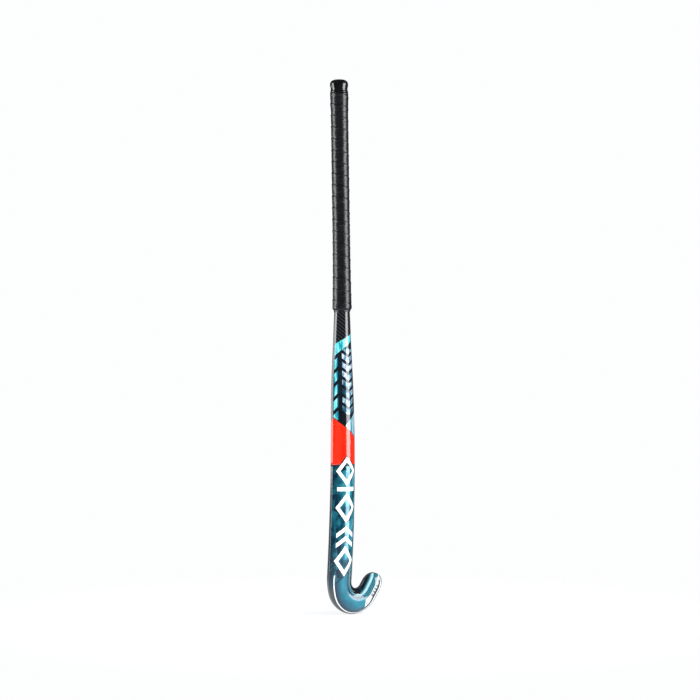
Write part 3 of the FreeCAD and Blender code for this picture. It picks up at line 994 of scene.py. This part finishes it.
def band_point(share, part):
    """Height and distance of the band at a share of the way round it and a part of the way up."""
    turn = share * math.tau
    low = BAND_BOTTOM + 0.8 * math.sin(turn + 0.4)
    high = BAND_TOP - 5.5 * abs(share - 0.5) * 2
    height = low + (high - low) * part
    on_grip = eased(height, BAND_RAMP_START, BAND_RAMP)
    reach = BAND_OVER_SHAFT + (GRIP_REACH + 0.15) * on_grip
    pucker = 0.10 * math.sin(turn * 9 + 1.1) * (1 - on_grip)
    second_turn = 0.22 if height > BAND_TURN_EDGE - 2.5 * math.sin(turn) else 0.0
    rolled = 0.45 * max(0.0, 1 - min(part, 1 - part) * 16) ** 2
    return height, reach + pucker + second_turn - rolled


def finishing_band():
    """Two turns of vinyl that close the grip's lower end; the upper edge climbs like the grip."""
    shares = column_shares()
    count = len(shares)
    verts, faces = [], []
    values = {"around": [], "along": []}
    for k in range(BAND_ROWS + 1):
        for i, share in enumerate(shares):
            height, distance = band_point(share, k / BAND_ROWS)
            point, arc = offset_point(height, i, distance)
            verts.append(point)
            values["around"].append(arc)
            values["along"].append(height)
    for k in range(BAND_ROWS):
        bridge(faces, k * count, (k + 1) * count, count, flip=True)
    piece = make_piece("finishing_tape_band", verts, faces, values)
    thicken(piece, BAND_WALL)
    piece.data.materials.append(vinyl_paint())
    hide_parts("finishing_tape")


def cap_levels():
    """Outlines of the cap from its lip to the middle of its top: (height, inset, lumpiness)."""
    levels = []
    for k in range(9):
        turn = math.pi * k / 8
        levels.append((CAP_BOTTOM + CAP_LIP * (1 - math.cos(turn)), 1.1 * (1 - math.sin(turn)), 0.0))
    side_bottom = CAP_BOTTOM + 2 * CAP_LIP
    side_top = LENGTH - CAP_EDGE_RADIUS
    for k in range(1, 15):
        share = k / 14
        waist = 0.75 * math.sin(math.pi * min(share * 1.25, 1.0)) + 0.9 * (1 - share) ** 2
        levels.append((side_bottom + (side_top - side_bottom) * share, waist, 1.0))
    for k in range(1, 17):
        turn = math.pi / 2 * k / 16
        levels.append((side_top + CAP_EDGE_RADIUS * math.sin(turn),
                       CAP_EDGE_RADIUS * (1 - math.cos(turn)), 1.0))
    rim = levels[-1][1]
    # a low dome; a small flat face is left to close its middle
    for k in range(1, 9):
        levels.append((LENGTH + 0.25 * math.sin(math.pi / 2 * k / 8),
                       rim + (CAP_THICKNESS / 2 - rim) * k / 8.6, 0.4))
    return levels


def end_cap():
    """Domed rubber cap with a rolled lip and a slight waist, as one skin that is open below."""
    levels = cap_levels()
    sizes = (CAP_WIDTH, CAP_THICKNESS, CAP_THICKNESS / 2, CAP_WIDTH * 0.4)
    verts = []
    for height, inset, lumps in levels:
        y, z, tilt = spine(height)
        outline = d_points(*inset_sizes(*sizes, inset))
        for i, (px, py, _, _) in enumerate(outline):
            share = i / len(outline)
            swell = 1 + lumps * 0.006 * math.sin(share * math.tau * 7 + height * 0.55) \
                * math.sin(height * 0.9 + share * 11)
            px, py = px * swell, py * swell
            verts.append(Vector((px, y + py * math.cos(tilt), z + py * math.sin(tilt))))
    count = len(outline)
    faces = []
    for k in range(len(levels) - 1):
        bridge(faces, k * count, (k + 1) * count, count, flip=True)
    last = (len(levels) - 1) * count
    faces.append(tuple(last + i for i in reversed(range(count))))
    piece = make_piece("end_cap_dome", verts, faces, {})
    thicken(piece, 1.2)
    piece.data.materials.append(cap_paint())
    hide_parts("end_cap")


def inner_finishes():
    """Materials of the pieces inside the stick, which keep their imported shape."""
    aramid = weave_paint("aramid_weave", "6d5a22", "c2a650", 2.4, 0.45)
    carbon = weave_paint("inner_carbon", "08090b", "2a2d31", 2.0, 0.30)
    foam = foam_paint("rigid_foam", "b7ab86", "dfd6b6", 900.0, 0.75)
    looks = {
        "face_ply": aramid,
        "edge_ply": aramid,
        "head_core": foam,
        "handle_core": foam,
        "chamber_tube_heel_side": carbon,
        "chamber_tube_toe_side": carbon,
        "vibration_damper": foam_paint("damper_elastomer", "17181b", "2c2e33", 400.0, 0.5),
        "butt_plug": foam_paint("moulded_nylon", "101114", "24262a", 250.0, 0.35),
        "grip_base_tape": weave_paint("cloth_tape", "9d9a90", "d2cfc4", 0.8, 0.7),
    }
    for node, material in looks.items():
        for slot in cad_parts[node].material_slots:
            slot.link = "OBJECT"
            slot.material = material


# ---- studio ----

FLOOR_RADIUS = 1.6  # metres, as everything in this section
FLOOR_DROP = 0.0002
FADE_START = 0.18
FADE_END = 0.75


def floor_mesh():
    """A disc of rings just under the object."""
    rings, around = 24, 96
    verts = [(0, 0, -FLOOR_DROP)]
    faces = []
    for k in range(1, rings + 1):
        radius = FLOOR_RADIUS * k / rings
        for i in range(around):
            turn = math.tau * i / around
            verts.append((radius * math.cos(turn), radius * math.sin(turn), -FLOOR_DROP))
    for i in range(around):
        j = (i + 1) % around
        faces.append((0, 1 + i, 1 + j))
        for k in range(rings - 1):
            a = 1 + k * around
            faces.append((a + i, a + around + i, a + around + j, a + j))
    mesh = bpy.data.meshes.new("floor")
    mesh.from_pydata(verts, [], faces)
    return mesh


def blend_shaders(tree, factor, first, second, output):
    """Shows the first shader where the factor is 0 and the second where it is 1."""
    blend = tree.nodes.new("ShaderNodeMixShader")
    for socket, slot in zip((factor, first, second), blend.inputs):
        tree.links.new(socket, slot)
    tree.links.new(blend.outputs[0], tree.nodes[output].inputs[0])


def floor_material():
    """Pale and faintly glowing, clear far out."""
    paint = Paint("pale_floor", Base_Color=(0.30, 0.30, 0.31, 1), Emission_Color=(0.97, 0.975, 0.985, 1),
                  Emission_Strength=0.78, Roughness=0.9, Specular_IOR_Level=0.0)
    tree = paint.tree
    distance = paint.new("VectorMath")
    distance.operation = "LENGTH"
    fade = paint.new("MapRange")
    fade.interpolation_type = "SMOOTHSTEP"
    fade.inputs["From Min"].default_value = FADE_START
    fade.inputs["From Max"].default_value = FADE_END
    tree.links.new(paint.new("TexCoord").outputs["Object"], distance.inputs[0])
    tree.links.new(distance.outputs["Value"], fade.inputs["Value"])
    clear = paint.new("BsdfTransparent")
    blend_shaders(tree, fade.outputs["Result"], paint.shader.outputs[0], clear.outputs[0],
                  "Material Output")
    return paint.material


def add_floor():
    """A pale floor that fades out into the pale surroundings."""
    mesh = floor_mesh()
    mesh.materials.append(floor_material())
    floor = add_object("floor", mesh)


def add_light(name, bearing, distance, height, width, tall, energy, glossy=True):
    """A soft rectangular light aimed at the stick. bearing is in degrees from -Y towards +X."""
    data = bpy.data.lights.new(name, "AREA")
    data.shape = "RECTANGLE"
    data.size = width
    data.size_y = tall
    data.energy = energy
    lamp = add_object(name, data)
    turn = math.radians(bearing)
    lamp.location = (distance * math.sin(turn), -distance * math.cos(turn), height)
    aim = Vector((0, 0, (cad_box[0][2] + cad_box[1][2]) / 2)) - lamp.location
    lamp.rotation_euler = aim.to_track_quat("-Z", "Y").to_euler()
    lamp.visible_camera = False
    lamp.visible_glossy = glossy


def add_world():
    """Pale surroundings for the picture, dimmer as a light source."""
    bpy.context.scene.view_settings.view_transform = "Standard"
    world = bpy.data.worlds.new("studio")
    bpy.context.scene.world = world
    world.use_nodes = True
    tree = world.node_tree
    ambient = tree.nodes["Background"]
    ambient.inputs[0].default_value = (0.93, 0.96, 1.0, 1)
    ambient.inputs[1].default_value = 0.09
    seen = tree.nodes.new("ShaderNodeBackground")
    seen.inputs[0].default_value = (0.985, 0.988, 0.995, 1)
    seen.inputs[1].default_value = 1.0
    path = tree.nodes.new("ShaderNodeLightPath")
    blend_shaders(tree, path.outputs["Is Camera Ray"], ambient.outputs[0], seen.outputs[0], "World Output")


CAMERA_BEARING = -33.0  # degrees from -Y towards +X, so round towards the heel side
CAMERA_DISTANCE = 3.5
AIM_HEIGHT = 0.4594  # of the point aimed at, above the bottom of the shaft's axis
AIM_ASIDE = 0.0185  # of that point, to the right of the shaft in the picture


def add_camera():
    """Level with the middle of the stick and turned round it, with a long lens."""
    bearing = math.radians(CAMERA_BEARING)
    toward = Vector((math.sin(bearing), -math.cos(bearing), 0))
    right = Vector((math.cos(bearing), math.sin(bearing), 0))
    shaft_x = sum(corner[0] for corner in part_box("butt_plug")) / 2
    target = Vector((shaft_x, SHIFT.y, SHIFT.z + AIM_HEIGHT)) + right * AIM_ASIDE
    data = bpy.data.cameras.new("camera")
    data.lens = 104.05
    data.sensor_width = 36.0
    data.clip_end = 50.0
    camera = add_object("camera", data)
    camera.location = target + toward * CAMERA_DISTANCE
    camera.rotation_euler = (-toward).to_track_quat("-Z", "Y").to_euler()
    bpy.context.scene.camera = camera


add_camera()
shell_pieces()
grip_wrap()
finishing_band()
end_cap()
inner_finishes()
add_floor()
add_world()
# name, bearing, distance, height, width, height of the lamp, watts
add_light("softbox_toe_side", 38, 2.0, 0.62, 1.2, 2.0, 64)
add_light("softbox_heel_side", -112, 2.0, 0.55, 0.8, 2.0, 44)
add_light("softbox_behind", -148, 2.2, 0.45, 0.7, 0.7, 4)
add_light("fill_front", -45, 2.6, 0.7, 2.4, 2.2, 63, glossy=False)
add_light("top", 0, 0.6, 2.6, 1.4, 1.4, 20, glossy=False)
